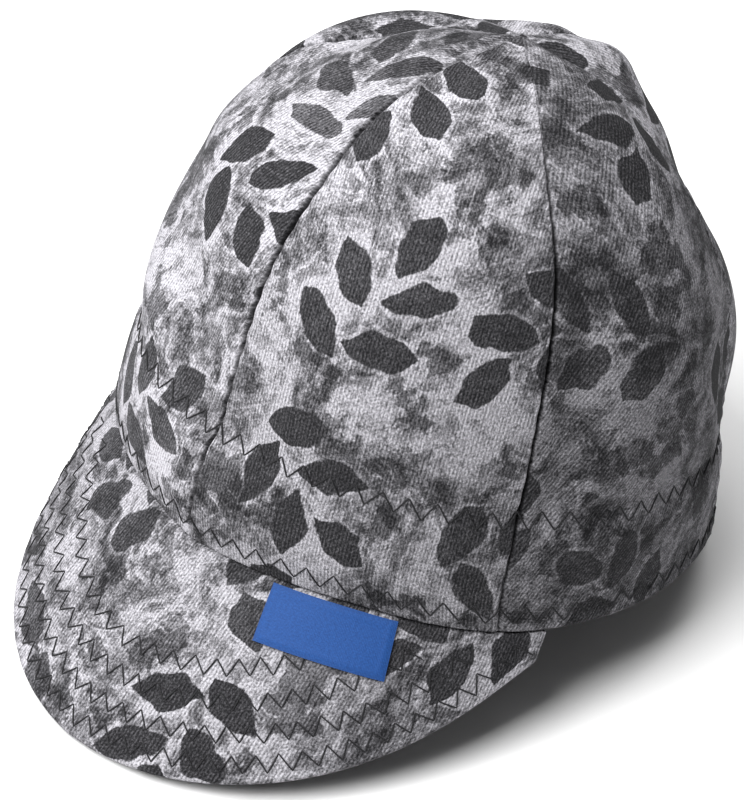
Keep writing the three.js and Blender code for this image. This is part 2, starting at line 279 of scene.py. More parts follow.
def pucker_row(along, height, row_height, depth, width):
    """A row of stitches: a shallow furrow with gathers across it."""
    furrow = bell(height - row_height, width)
    phase = 2 * np.pi * along / PUCKER_PITCH
    gathers = QUICK_PUCKER_SHARE * np.cos(phase) + SLOW_PUCKER_SHARE * np.cos(phase / SLOW_PUCKER)
    return depth * (gathers * bell(height - row_height, PUCKER_SPREAD * width) - furrow)


def crown_relief(turn, climb, height, seams=1.0):
    """Puckers, seam furrows and soft waves of the crown's cloth."""
    hoop = panel_hoop(climb)
    across = (turn % PANEL_TURN) / PANEL_TURN
    distance, from_end = np.minimum(across, 1 - across) * hoop, (1 - across) * hoop
    along = np.radians(turn) * CROWN_HALF_WIDTH
    roll = -SEAM_ROLL * bell(distance, SEAM_ROLL_WIDTH)
    roll = roll - SHOULDER * bell(distance, SHOULDER_WIDTH)
    lap = LAP * bell(from_end, LAP_WIDTH) - LAP_STITCH_DENT * bell(from_end - LAP_STITCH, LAP_STITCH_WIDTH)
    roll = (roll + lap) * seam_tightness(climb) * np.clip(hoop / FULL_SEAM_HOOP, LEAST_SEAM, 1) * seams
    gathers = np.sin(2 * np.pi * height / SEAM_GATHER_PITCH + turn)
    seam_gathers = SEAM_GATHER * bell(distance, SEAM_GATHER_WIDTH) * gathers
    seam_gathers = seam_gathers * np.clip((hoop - GATHERS_FROM_HOOP) / GATHERS_GROW_OVER, 0, 1)
    waved = 0
    for wave in SOFT_WAVES:
        phase = np.radians(turn) * wave["around"] + wave["climbs"] * 2 * np.pi * climb + wave["start"]
        waved = waved + SOFT_WAVE_HEIGHT * np.sin(phase)
    grown = np.clip((height - BRIM_TUCK) / WAVES_GROW_OVER, 0, 1) * np.clip(hoop / FULL_WAVE_HOOP, 0, 1)
    return (
        roll
        + seam_gathers
        + waved * grown
        + pucker_row(along, height, UPPER_ROW_HEIGHT, UPPER_ROW_DEPTH, UPPER_ROW_WIDTH)
        + pucker_row(along, height, LOWER_ROW_HEIGHT, LOWER_ROW_DEPTH, LOWER_ROW_WIDTH)
    )


def crown_cloth(turn, height, inset=0.0, relief=1.0, seams=1.0):
    """Points on the crown's cloth, a height up the wall from the hem and an inset into it."""
    turn, height, inset = (array.astype(float) for array in np.broadcast_arrays(turn, height, inset))
    climb = climb_at(height)
    up, out = crown_directions(turn, climb)[1:]
    stand = cloth_swell(turn, climb) + relief * crown_relief(turn, climb, height, seams) - inset
    below = np.minimum(0, height)
    return crown_form(turn, climb) + out * stand[..., None] + up * below[..., None]


print("One panel's hoop at the hem is", round(float(panel_hoop(0.0))), "mm long")

# %% [markdown]
# ## The brim's form
# The brim runs out from under the hem. Its reach is longest at the front and falls away to the ends, and its
# slope is steepest at the wearer's right. A flat shape could be cut out and bent, but here too a function is
# asked, because rows of stitching follow the outer edge, and each point needs its distance to that edge.

# %% Sizes of the brim
BRIM_REACH, BRIM_WALL, BRIM_END_REACH, BRIM_BOW, BRIM_FAN = 67.5, 3.0, 10.0, 2.0, 0.36
BRIM_LEFT_END, BRIM_RIGHT_END = 69.0, 63.0
BRIM_SLOPE, BRIM_LEFT_SLOPE, BRIM_RIGHT_SLOPE = 59.0, 64.0, 69.0
BRIM_END_SHARPNESS, BRIM_EDGE_ROUNDNESS = 2.5, 1.14
LAY_GAP = 0.3
BRIM_ROWS = [5.8, 14.3, 23.6, 33.4]
BRIM_ROW_DEPTH, BRIM_ROW_WIDTH, BRIM_ROW_SHIFT = 0.34, 3.4, 2.3
RELIEF_FADE, EDGE_SAMPLES = 6.0, 600
print("The brim reaches", BRIM_REACH, "mm at the front and has", len(BRIM_ROWS), "rows of stitches")


# %% Functions that place a point of the brim
def brim_run(turn):
    """The brim's way out from the hem at a turn, its reach there and its upper face's normal."""
    turn = np.asarray(turn, float)
    share = np.minimum(1, np.abs(turn) / np.where(turn > 0, BRIM_LEFT_END, BRIM_RIGHT_END))
    end_slope = np.where(turn > 0, BRIM_LEFT_SLOPE, BRIM_RIGHT_SLOPE)
    slope = np.radians(BRIM_SLOPE + (end_slope - BRIM_SLOPE) * share**2)
    heading = np.radians(turn) * BRIM_FAN
    way = np.stack([np.sin(heading) * np.cos(slope), -np.cos(heading) * np.cos(slope), -np.sin(slope)], -1)
    fullness = (1 - share**BRIM_END_SHARPNESS) ** BRIM_EDGE_ROUNDNESS
    reach = BRIM_END_REACH + (BRIM_REACH - BRIM_END_REACH) * fullness
    around = crown_directions(turn, np.zeros_like(turn))[0]
    return way, reach, unit(np.cross(around, -way))


def brim_form(turn, distance):
    """Points of the brim's upper face, a distance below the hem, with their normals."""
    turn, distance = np.broadcast_arrays(np.asarray(turn, float), np.asarray(distance, float))
    way, reach, normal = brim_run(turn)
    up = crown_directions(turn, np.zeros_like(turn))[1]
    bow = BRIM_BOW * np.sin(np.pi * np.clip(distance / reach, 0, 1)) * reach / BRIM_REACH
    start = crown_form(turn, 0.0) - up * LAY_GAP
    return start + way * distance[..., None] + normal * bow[..., None], normal


edge_turns = np.linspace(-BRIM_RIGHT_END, BRIM_LEFT_END, EDGE_SAMPLES)
EDGE_POINTS = brim_form(edge_turns, brim_run(edge_turns)[1])[0]


def edge_distance(points):
    """Distance from points of the brim to its outer edge."""
    flat = points.reshape(-1, 3)
    nearest = [np.linalg.norm(EDGE_POINTS - point, axis=1).min() for point in flat]
    return np.array(nearest).reshape(points.shape[:-1])


def brim_relief(turn, distance, from_edge):
    """Furrows and gathers of the brim's stitch rows, which fade out beside the hem."""
    along = np.radians(turn) * CROWN_HALF_WIDTH
    relief = 0
    for number, row in enumerate(BRIM_ROWS):
        shifted = along + BRIM_ROW_SHIFT * number
        relief = relief + pucker_row(shifted, from_edge, row, BRIM_ROW_DEPTH, BRIM_ROW_WIDTH)
    return relief * np.clip(distance / RELIEF_FADE, 0, 1)


edge_steps = np.linalg.norm(np.diff(EDGE_POINTS, axis=0), axis=1)
print("The brim's outer edge is", round(edge_steps.sum()), "mm long")

# %% [markdown]
# ## Leaning the cap on the table
# So far the hem's plane is level. At rest the cap leans back until both the brim's edge and the back of the
# hem lie on the table. It could be turned by hand until it seems to lie still, but halving a range of leans
# again and again finds the exact one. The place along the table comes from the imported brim's box.

# %% Lean and place
REST_PRESS = 1.5
HEM_STEP, EDGE_STOPS, HALVINGS = 6.0, 60, 50


def heights_at(points, lean):
    return points[..., 2] * math.cos(lean) - points[..., 1] * math.sin(lean)


def resting_lean():
    turns = np.arange(0, 360, HEM_STEP)
    hem = np.concatenate([crown_cloth(turns, 0.0, inset, relief=0.0) for inset in (0.0, HEM_WALL)])
    run_turns = np.linspace(-BRIM_RIGHT_END, BRIM_LEFT_END, EDGE_STOPS)
    edge, normal = brim_form(run_turns, brim_run(run_turns)[1])
    low, high = 0.0, math.pi / 4
    for step in range(HALVINGS):
        lean = (low + high) / 2
        brim_low = heights_at(edge - normal * BRIM_WALL, lean).min()
        if brim_low < heights_at(hem, lean).min() + REST_PRESS:
            low = lean
        else:
            high = lean
    return low, heights_at(hem, low).min() + REST_PRESS


LEAN, TABLE = resting_lean()


def leaned(points):
    """Points turned to the resting lean and set down on the table, still in millimetres."""
    y = points[..., 1] * math.cos(LEAN) + points[..., 2] * math.sin(LEAN)
    return np.stack([points[..., 0], y, heights_at(points, LEAN) - TABLE], -1)


front = leaned(EDGE_POINTS)[:, 1].min()
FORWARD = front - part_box("brim")[0][1] / MM


def in_frame(points, pressed=False):
    """Points in the frame's metres, those of the hem pressed flat where they would go under the table."""
    placed = leaned(points) - np.array([0, FORWARD, 0])
    if pressed:
        placed[..., 2] = np.maximum(placed[..., 2], 0)
    return placed * MM


print("Lean:", round(math.degrees(LEAN), 2), "degrees")
print("Crown's middle:", round(-FORWARD, 1), "mm behind the origin")

# %% [markdown]
# ## A cloth panel from a grid
# A panel could be cut from a ball, but a ball's faces crowd together at its pole. So each one starts as
# Blender's own grid primitive, whose rows and columns can be placed one by one. The columns run from seam to
# seam. The rows run from the raw edge of the turned-up hem, down and round the fold, and up to the apex, so
# one sheet makes both layers of the hem. Its map is measured on the flat cloth, as if the panel lay on the
# bolt it was cut from, so that the print is cut off at the seams.

# %% Functions for sheets of cloth
CLOTH = 1.1
BOLT = 1000.0
SMOOTH_ANGLE = math.radians(50)


def new_grid(name, columns, rows):
    bpy.ops.object.select_all(action="DESELECT")
    bpy.ops.mesh.primitive_grid_add(x_subdivisions=columns, y_subdivisions=rows, size=1, calc_uvs=True)
    sheet = bpy.context.object
    sheet.name = sheet.data.name = name
    return sheet


def grid_places(sheet):
    """Each vertex's share across the grid and up it."""
    places = np.empty(len(sheet.data.vertices) * 3)
    sheet.data.vertices.foreach_get("co", places)
    places = places.reshape(-1, 3) + 0.5
    return np.clip(places[:, 0], 0, 1), np.clip(places[:, 1], 0, 1)


def shape_sheet(sheet, points, bolt_places):
    """Moves the sheet's vertices and writes its map on the bolt, in shares of a metre."""
    sheet.data.vertices.foreach_set("co", np.asarray(points, float).ravel())
    corners = np.empty(len(sheet.data.loops), dtype=int)
    sheet.data.loops.foreach_get("vertex_index", corners)
    sheet.data.uv_layers[0].name = "bolt"
    sheet.data.uv_layers[0].data.foreach_set("uv", (bolt_places[corners] / BOLT).ravel())
    sheet.data.update()


def on_bolt(across, along, middle, turn):
    """Places on the bolt of cloth for a piece that was cut there at an angle."""
    angle = math.radians(turn)
    x = middle[0] + across * math.cos(angle) - along * math.sin(angle)
    y = middle[1] + across * math.sin(angle) + along * math.cos(angle)
    return np.stack([x, y], -1)


def thicken(sheet, thickness, inner_slot=0):
    """Gives a sheet its thickness, inwards, with the inner face on a material slot, and smooth shading."""
    for slot in range(inner_slot + 1):
        sheet.data.materials.append(None)
    solid = sheet.modifiers.new("thickness", "SOLIDIFY")
    solid.thickness, solid.offset = thickness * MM, -1
    solid.material_offset = inner_slot
    bpy.context.view_layer.objects.active = sheet
    bpy.ops.object.modifier_apply(modifier=solid.name)
    bpy.ops.object.select_all(action="DESELECT")
    sheet.select_set(True)
    bpy.ops.object.shade_smooth_by_angle(angle=SMOOTH_ANGLE)
    sheet.select_set(False)


print("Cloth is", CLOTH, "mm thick, cut from a bolt", BOLT / 1000, "m wide")

# %% [markdown]
# ## The crown panels
# The crown could be one round mesh, but then its print would run across the seams, which a sewn cap's never
# does. So there are six panels, each cut from another place on the bolt, and the side panels across the
# grain, as the slanting ribs of the real one show. The fold of the hem is a half circle as wide as the
# doubled hem. At the seams the cloth rolls in by a millimetre or two, and neighbours overlap by a hair, so
# that no light comes through.

# %% Sizes and places of the six panels
SEAM_COLUMNS = [0.0, 0.15, 0.3, 0.45, 0.65, 0.9, 1.25, 1.6, 1.95, 2.4, 2.9, 3.6, 4.5]
MIDDLE_COLUMNS = 68
WIDEST_HOOP = 100.0
INNER_ROWS, FOLD_ROWS, OUTER_ROWS = 16, 8, 165
RAW_EDGE_GAP, TIP_GAP = 1.0, 0.4
SEAM_SLIVER, SEAM_OVERLAP = 1e-7, 0.06
INNER_RELIEF = 0.4
# Width of the painted seam shade on either side of a seam, in millimetres.
SEAM_SHADE_WIDTH = 0.42
# Each panel's place on the bolt also sets its share of the print's painted light and shade: the side panels
# sit where the slow waves are dark, and the wearer's right front sits where they are pale.
PANELS = [
    dict(name="front_left", start=0, bolt=(210, 40), turn=0),
    dict(name="side_left", start=60, bolt=(500, 60), turn=32),
    dict(name="back_left", start=120, bolt=(800, 300), turn=4),
    dict(name="back_right", start=180, bolt=(200, 520), turn=-3),
    dict(name="side_right", start=240, bolt=(520, 540), turn=-30),
    dict(name="front_right", start=300, bolt=(728, 640), turn=6),
]
print("Panels to cut:", [panel["name"] for panel in PANELS])


# %% Functions for the panels' rows and columns
def sheet_rows():
    """Height, inset and length along the sheet for its rows, from the inner raw edge to the apex."""
    radius = HEM_WALL / 2
    rounds = np.linspace(0, np.pi, FOLD_ROWS + 1)[1:-1]
    heights = np.concatenate([
        np.linspace(HEM_TURN - RAW_EDGE_GAP, radius, INNER_ROWS),
        radius - radius * np.sin(rounds),
        np.linspace(radius, WALL_LENGTHS[-1] - TIP_GAP, OUTER_ROWS),
    ])
    insets = np.concatenate([
        np.full(INNER_ROWS, HEM_WALL),
        radius * (1 + np.cos(rounds)),
        np.zeros(OUTER_ROWS),
    ])
    steps = np.hypot(np.diff(heights), np.diff(insets))
    lengths = np.concatenate([[0], np.cumsum(steps)])
    to_fold = np.interp(INNER_ROWS + FOLD_ROWS / 2, np.arange(len(lengths)), lengths)
    return heights, insets, lengths - to_fold


def column_shares():
    """Shares across a panel for its columns, closer together beside the seams."""
    edge = np.array(SEAM_COLUMNS) / WIDEST_HOOP
    middle = np.linspace(edge[-1], 1 - edge[-1], MIDDLE_COLUMNS + 1)[1:-1]
    return np.concatenate([edge, middle, 1 - edge[::-1]])


print("Each panel has", len(sheet_rows()[0]), "rows and", len(column_shares()), "columns of points")


# %% Make the six panels
def make_panel(panel):
    heights, insets, lengths = sheet_rows()
    shares = column_shares()
    rows, columns = len(heights) - 1, len(shares) - 1
    sheet = new_grid("crown_" + panel["name"], columns, rows)
    across, up = grid_places(sheet)
    row, column = np.rint(up * rows).astype(int), np.rint(across * columns).astype(int)
    height, inset, length, share = heights[row], insets[row], lengths[row], shares[column]
    climb = climb_at(height)
    hoop = panel_hoop(climb)
    turn = panel["start"] + PANEL_TURN * np.clip(share, SEAM_SLIVER, 1 - SEAM_SLIVER)
    points = crown_cloth(turn, height, inset, relief=np.where(inset > 0, INNER_RELIEF, 1.0))
    aside = np.where(column == 0, -SEAM_OVERLAP, np.where(column == columns, SEAM_OVERLAP, 0))
    points = points + crown_directions(turn, climb)[0] * aside[:, None]
    bolt = on_bolt((share - 0.5) * hoop, length, panel["bolt"], panel["turn"])
    shape_sheet(sheet, in_frame(points, pressed=True), bolt)
    # Painted seam shade: each point keeps how much the print is darkened there. It is strongest at the seams,
    # where they are drawn in tightest, and stands in for the shade inside the seam's crease.
    painted_seam_shade = sheet.data.attributes.new("painted_seam_shade", "FLOAT", "POINT")
    depth = bell(np.minimum(share, 1 - share) * hoop, SEAM_SHADE_WIDTH) * seam_tightness(climb)
    painted_seam_shade.data.foreach_set("value", depth.astype(np.float32))
    thicken(sheet, CLOTH, inner_slot=1)
    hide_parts("crown_panel_" + panel["name"])
    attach(sheet, "root")
    return sheet


panel_sheets = [make_panel(panel) for panel in PANELS]
print("Panels:", [(sheet.name, len(sheet.data.polygons)) for sheet in panel_sheets])

# %% [markdown]
# ## The quilted brim
# The brim is a pad of quilted layers. Solidify could thicken one sheet, but it would leave a square edge and
# put the same dents below as above. So the grid is wrapped right round the pad: down the upper face, round
# the turned edge and back up the lower face into the hem. The two long edges of the grid then meet and are
# merged, and the ends are filled.

# %% Lines of points round the brim
BRIM_COLUMNS = 170
TUCK_ROWS, RUN_ROWS, EDGE_ROWS = 5, 66, 8
UNDER_RELIEF = 0.7


def mitre(first, second):
    dots = (first * second).sum(-1, keepdims=True)
    return (first + second) / (1 + dots)


def brim_section(turn):
    """A line of points at each turn, from the tuck's top round the edge and back, and its lengths."""
    up, out = crown_directions(turn, np.zeros_like(turn))[1:]
    way, reach, normal = brim_run(turn)
    upper, lower, lengths = [], [], []
    for height in np.linspace(BRIM_TUCK, 0, TUCK_ROWS, endpoint=False):
        there = crown_directions(turn, np.full_like(turn, climb_at(height)))[2]
        point = crown_form(turn, climb_at(height)) - there * (HEM_WALL + LAY_GAP)
        upper.append(point)
        lower.append(point - there * BRIM_WALL)
        lengths.append(-height - HEM_WALL)
    corner = crown_form(turn, 0.0) - out * (HEM_WALL + LAY_GAP) - up * LAY_GAP
    upper.append(corner)
    lower.append(corner - mitre(out, up) * BRIM_WALL)
    lengths.append(-HEM_WALL)
    for step in range(RUN_ROWS + 1):
        distance = (reach - BRIM_WALL / 2) * step / RUN_ROWS
        point = brim_form(turn, distance)[0]
        relief = brim_relief(turn, distance, edge_distance(point))[..., None]
        under = mitre(up, normal) if step == 0 else normal
        upper.append(point + normal * relief)
        lower.append(point - under * (BRIM_WALL + UNDER_RELIEF * relief))
        lengths.append(distance)
    middle, half = (upper[-1] + lower[-1]) / 2, (upper[-1] - lower[-1]) / 2
    radius = BRIM_WALL / 2
    edge, edge_lengths = [], []
    for step in range(1, EDGE_ROWS):
        angle = np.pi * step / EDGE_ROWS
        edge.append(middle + half * math.cos(angle) + way * radius * math.sin(angle))
        edge_lengths.append(reach - radius + radius * angle)
    under_lengths = [2 * reach - length for length in reversed(lengths)]
    points = np.stack(upper + edge + lower[::-1] + [upper[0]])
    all_lengths = lengths + edge_lengths + under_lengths + [2 * reach + BRIM_TUCK]
    return points, np.stack([np.broadcast_to(length, turn.shape) for length in all_lengths])


print("Each of the brim's lines has", 2 * (TUCK_ROWS + RUN_ROWS + 2) + EDGE_ROWS, "points")

# %% Make the brim
BRIM_ON_BOLT, BRIM_BOLT_TURN = (100, 850), 3
MERGE_WITHIN = 1e-5


def make_brim():
    shares = np.sin(np.pi / 2 * np.linspace(-1, 1, BRIM_COLUMNS + 1))
    turns = np.where(shares > 0, shares * BRIM_LEFT_END, shares * BRIM_RIGHT_END)
    points, spans = brim_section(turns)
    rows = len(points) - 1
    sheet = new_grid("brim_quilted", BRIM_COLUMNS, rows)
    across, up = grid_places(sheet)
    column = np.rint(across * BRIM_COLUMNS).astype(int)
    row = rows - np.rint(up * rows).astype(int)
    hem_length = np.radians(turns) * CROWN_HALF_WIDTH
    bolt = on_bolt(hem_length[column], -spans[row, column], BRIM_ON_BOLT, BRIM_BOLT_TURN)
    shape_sheet(sheet, in_frame(points[row, column]), bolt)
    bpy.ops.object.mode_set(mode="EDIT")
    bpy.ops.mesh.select_all(action="SELECT")
    bpy.ops.mesh.remove_doubles(threshold=MERGE_WITHIN)
    bpy.ops.mesh.select_all(action="DESELECT")
    bpy.ops.mesh.select_non_manifold()
    bpy.ops.mesh.edge_face_add()
    bpy.ops.mesh.select_all(action="SELECT")
    bpy.ops.mesh.normals_make_consistent(inside=False)
    bpy.ops.object.mode_set(mode="OBJECT")
    bpy.ops.object.shade_smooth_by_angle(angle=SMOOTH_ANGLE)
    sheet.select_set(False)
    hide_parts("brim")
    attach(sheet, "root")
    return sheet


brim = make_brim()
print("Brim:", len(brim.data.polygons), "faces")

# %% [markdown]
# ## The label
# The label is a short piece of woven ribbon, sewn on just under the hem. It could be a flat box, but that
# would float over the curve of the brim, so it is a thin sheet that follows the brim, square to the hem. Its
# edge is softly rounded, with a low ridge inside it where the ribbon is turned under, and it is left bare.

# %% The label's size and place
LABEL_WIDTH, LABEL_DROP, LABEL_WALL = 37.5, 17.5, 0.8
LABEL_FROM_SEAM, LABEL_BELOW_HEM = 32.0, 0.5
hem_turns = np.linspace(0, 180, LENGTH_SAMPLES)
hem_steps = np.linalg.norm(np.diff(crown_form(hem_turns, 0.0), axis=0), axis=1)
HEM_LENGTHS = np.concatenate([[0], np.cumsum(hem_steps)])


def label_place(along, drop):
    """Points on the brim under the label, with their normals."""
    middle = np.interp(LABEL_FROM_SEAM + LABEL_WIDTH / 2, HEM_LENGTHS, hem_turns)
    way = brim_run(np.array([middle]))[0][0]
    slant = math.asin(float(way @ crown_directions(np.array([middle]), np.zeros(1))[0][0]))
    turn = np.interp(LABEL_FROM_SEAM + along - drop * math.tan(slant), HEM_LENGTHS, hem_turns)
    return brim_form(turn, drop / math.cos(slant))


print("Half the hem is", round(HEM_LENGTHS[-1]), "mm long")

# %% Make the label
LABEL_COLUMNS, LABEL_ROWS = 54, 26
EDGE_DROP, EDGE_DROP_WIDTH = 0.25, 1.2
RIDGE, RIDGE_FROM_EDGE, RIDGE_WIDTH = 0.18, 1.8, 0.5
RIBBON_WAVE, WAVES_ACROSS, WAVES_UP = 0.12, 9, 5
RIBBON_SHARE = 0.8


def make_label():
    sheet = new_grid("label_ribbon", LABEL_COLUMNS, LABEL_ROWS)
    across, up = grid_places(sheet)
    drop = LABEL_BELOW_HEM + LABEL_DROP * (1 - up)
    point, normal = label_place(LABEL_WIDTH * across, drop)
    border = np.minimum(np.minimum(across, 1 - across) * LABEL_WIDTH, np.minimum(up, 1 - up) * LABEL_DROP)
    soft = EDGE_DROP * bell(border, EDGE_DROP_WIDTH) - RIDGE * bell(border - RIDGE_FROM_EDGE, RIDGE_WIDTH)
    wave = RIBBON_WAVE * np.sin(across * WAVES_ACROSS) * np.sin(up * WAVES_UP)
    stand = LAY_GAP + LABEL_WALL - soft + wave
    ribbon = np.stack([across * LABEL_WIDTH, up * LABEL_DROP], -1)
    shape_sheet(sheet, in_frame(point + normal * stand[:, None]), ribbon)
    thicken(sheet, LABEL_WALL * RIBBON_SHARE)
    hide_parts("label")
    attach(sheet, "root")
    return sheet


label = make_label()
print("Label:", LABEL_WIDTH, "by", LABEL_DROP, "mm")

# %% [markdown]
# ## Zigzag stitching
# Dark zigzag rows hold the hem up and quilt the brim. They could be drawn in the print, but a thread stands
# off the cloth and catches the light. Each row is one thread that runs from needle hole to needle hole. A
# curve with a round bevel makes it: its points lie on the cloth along every leg and dip into it at the holes,
# and it is then turned into a mesh.

# %% Functions for stitch rows
THREAD, THREAD_LIFT = 0.5, 0.35
LEG_POINTS = 6
HOLE_DEPTH, HOLE_SHARPNESS = 0.35, 6
UNEVEN_WIDTH, UNEVEN_PITCH = (0.88, 1.1), (-0.12, 0.12)


def sew(name, legs):
    """A thread through the points of each leg, in millimetres before the lean."""
    data = bpy.data.curves.new(name, "CURVE")
    data.dimensions = "3D"
    data.bevel_depth, data.bevel_resolution = THREAD / 2 * MM, 1
    data.use_fill_caps = True
    for leg in legs:
        spline = data.splines.new("POLY")
        spline.points.add(len(leg) - 1)
        placed = in_frame(np.asarray(leg))
        spline.points.foreach_set("co", np.column_stack([placed, np.ones(len(placed))]).ravel())
    thread = bpy.data.objects.new(name, data)
    bpy.context.collection.objects.link(thread)
    bpy.ops.object.select_all(action="DESELECT")
    bpy.context.view_layer.objects.active = thread
    thread.select_set(True)
    bpy.ops.object.convert(target="MESH")
    thread = bpy.context.object
    bpy.ops.object.shade_smooth()
    thread.select_set(False)
    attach(thread, "root")
    return thread


def leg_lift():
    """How far a leg's points stand off the cloth, from one hole to the next."""
    share = np.linspace(0, 1, LEG_POINTS)
    return THREAD * THREAD_LIFT - HOLE_DEPTH * np.abs(2 * share - 1) ** HOLE_SHARPNESS


def zigzag_sides(count, width, chance):
    """How far each hole lies to one side and the other of a row's middle, a little unevenly."""
    return np.where(np.arange(count) % 2, 0.5, -0.5) * width * chance.uniform(*UNEVEN_WIDTH, count)


print("Thread:", THREAD, "mm thick, with", LEG_POINTS, "points to a leg")

# %% Sew the crown's rows
CROWN_ZIGZAG_WIDTH, CROWN_ZIGZAG_PITCH = 5.4, 8.2
FIRST_TURN, LAST_TURN = 180, 539.5


def crown_zigzag(name, row_height, seed):
    """A row all round the crown, from the back seam and on to it again."""
    chance = np.random.default_rng(seed)
    pitch = math.degrees(CROWN_ZIGZAG_PITCH / 2 / CROWN_HALF_WIDTH)
    turns = np.arange(FIRST_TURN, LAST_TURN, pitch)
    turns = turns + chance.uniform(*UNEVEN_PITCH, len(turns)) * pitch
    sides = zigzag_sides(len(turns), CROWN_ZIGZAG_WIDTH, chance)
    legs = []
    for start in range(len(turns) - 1):
        turn = np.linspace(turns[start], turns[start + 1], LEG_POINTS) % 360
        height = row_height + np.linspace(sides[start], sides[start + 1], LEG_POINTS)
        out = crown_directions(turn, climb_at(height))[2]
        legs.append(crown_cloth(turn, height, seams=0.0) + out * leg_lift()[:, None])
    return sew(name, legs)


threads = [
    crown_zigzag("hem_top_zigzag", UPPER_ROW_HEIGHT, seed=3),
    crown_zigzag("hem_edge_zigzag", LOWER_ROW_HEIGHT, seed=4),
]
print("Crown threads:", [(thread.name, len(thread.data.polygons)) for thread in threads])

# %% [markdown]
# ### Rows on the brim
# The brim's rows keep an even distance from its outer edge. The edge's curve could be offset, but that would
# leave the bowed surface. So the distance to the edge is measured down the brim for every turn, and the place
# where it equals the row's own is looked up. A row ends where it runs in under the hem.

# %% Functions for lines on the brim
BRIM_ZIGZAG_WIDTH, BRIM_ZIGZAG_PITCH = 5.2, 7.0
MAP_COLUMNS, MAP_ROWS, MAP_START = 240, 60, 0.02
MAP_TURNS = np.linspace(-BRIM_RIGHT_END, BRIM_LEFT_END, MAP_COLUMNS)
MAP_SHARES = np.linspace(MAP_START, 1, MAP_ROWS)
TURN_STEP = DISTANCE_STEP = 0.1
map_distances = brim_run(MAP_TURNS)[1][:, None] * MAP_SHARES[None, :]
map_edges = edge_distance(brim_form(MAP_TURNS[:, None], map_distances)[0])


def brim_row_line(from_edge):
    """Turns and distances down the brim of the line that keeps a distance from the edge."""
    turns, distances = [], []
    for turn, reach_distances, edges in zip(MAP_TURNS, map_distances, map_edges):
        if edges[0] > from_edge + BRIM_ZIGZAG_WIDTH / 4:
            turns.append(turn)
            distances.append(np.interp(-from_edge, -edges, reach_distances))
    return np.array(turns), np.array(distances)


def sidestep(turns, distances, ahead, sides):
    """Turns and distances of places a little to the side of a line on the brim."""
    point, normal = brim_form(turns, distances)
    aside = unit(np.cross(normal, ahead)) * sides[:, None]
    by_turn = (brim_form(turns + TURN_STEP, distances)[0] - point) / TURN_STEP
    by_distance = (brim_form(turns, distances + DISTANCE_STEP)[0] - point) / DISTANCE_STEP
    a, b, c = (by_turn**2).sum(-1), (by_turn * by_distance).sum(-1), (by_distance**2).sum(-1)
    p, q = (by_turn * aside).sum(-1), (by_distance * aside).sum(-1)
    spread = a * c - b * b
    return turns + (p * c - q * b) / spread, distances + (q * a - p * b) / spread


print("The map of the brim has", map_edges.size, "places")

# %% Sew the brim's rows
ROW_END_GAP, FROM_HEM, FROM_EDGE = 2, 0.3, 0.8


def brim_zigzag(name, from_edge, seed):
    chance = np.random.default_rng(seed)
    turns, distances = brim_row_line(from_edge)
    line = brim_form(turns, distances)[0]
    lengths = np.concatenate([[0], np.cumsum(np.linalg.norm(np.diff(line, axis=0), axis=1))])
    holes = np.arange(ROW_END_GAP, lengths[-1] - ROW_END_GAP, BRIM_ZIGZAG_PITCH / 2)
    holes = holes + chance.uniform(*UNEVEN_PITCH, len(holes)) * BRIM_ZIGZAG_PITCH / 2
    sides = zigzag_sides(len(holes), BRIM_ZIGZAG_WIDTH, chance)
    nearby = [[np.interp(holes + step, lengths, line[:, axis]) for axis in range(3)] for step in (-1, 1)]
    ahead = np.subtract(nearby[1], nearby[0]).T
    hole_turns, hole_distances = np.interp(holes, lengths, turns), np.interp(holes, lengths, distances)
    hole_turns, hole_distances = sidestep(hole_turns, hole_distances, ahead, sides)
    hole_turns = np.clip(hole_turns, -BRIM_RIGHT_END, BRIM_LEFT_END)
    hole_distances = np.clip(hole_distances, FROM_HEM, brim_run(hole_turns)[1] - FROM_EDGE)
    legs = []
    for start in range(len(holes) - 1):
        turn = np.linspace(hole_turns[start], hole_turns[start + 1], LEG_POINTS)
        distance = np.linspace(hole_distances[start], hole_distances[start + 1], LEG_POINTS)
        point, normal = brim_form(turn, distance)
        relief = brim_relief(turn, distance, edge_distance(point))
        legs.append(point + normal * (relief + leg_lift())[:, None])
    return sew(name, legs)


for number, row in enumerate(BRIM_ROWS):
    threads.append(brim_zigzag(f"brim_zigzag_{number + 1}", row, seed=20 + number))
print("All threads:", [(thread.name, len(thread.data.polygons)) for thread in threads])

# %% [markdown]
# ## Mixing materials with plain sums
# A finish is a sum of many small effects. Its nodes could be laid out by hand, but sums are easier to read.
# This class wraps a socket, so that an expression in Python such as `1 - mask * 0.5` adds the Math nodes for
# it. Every other node is added by one method that sets the node's settings first and its sockets after.


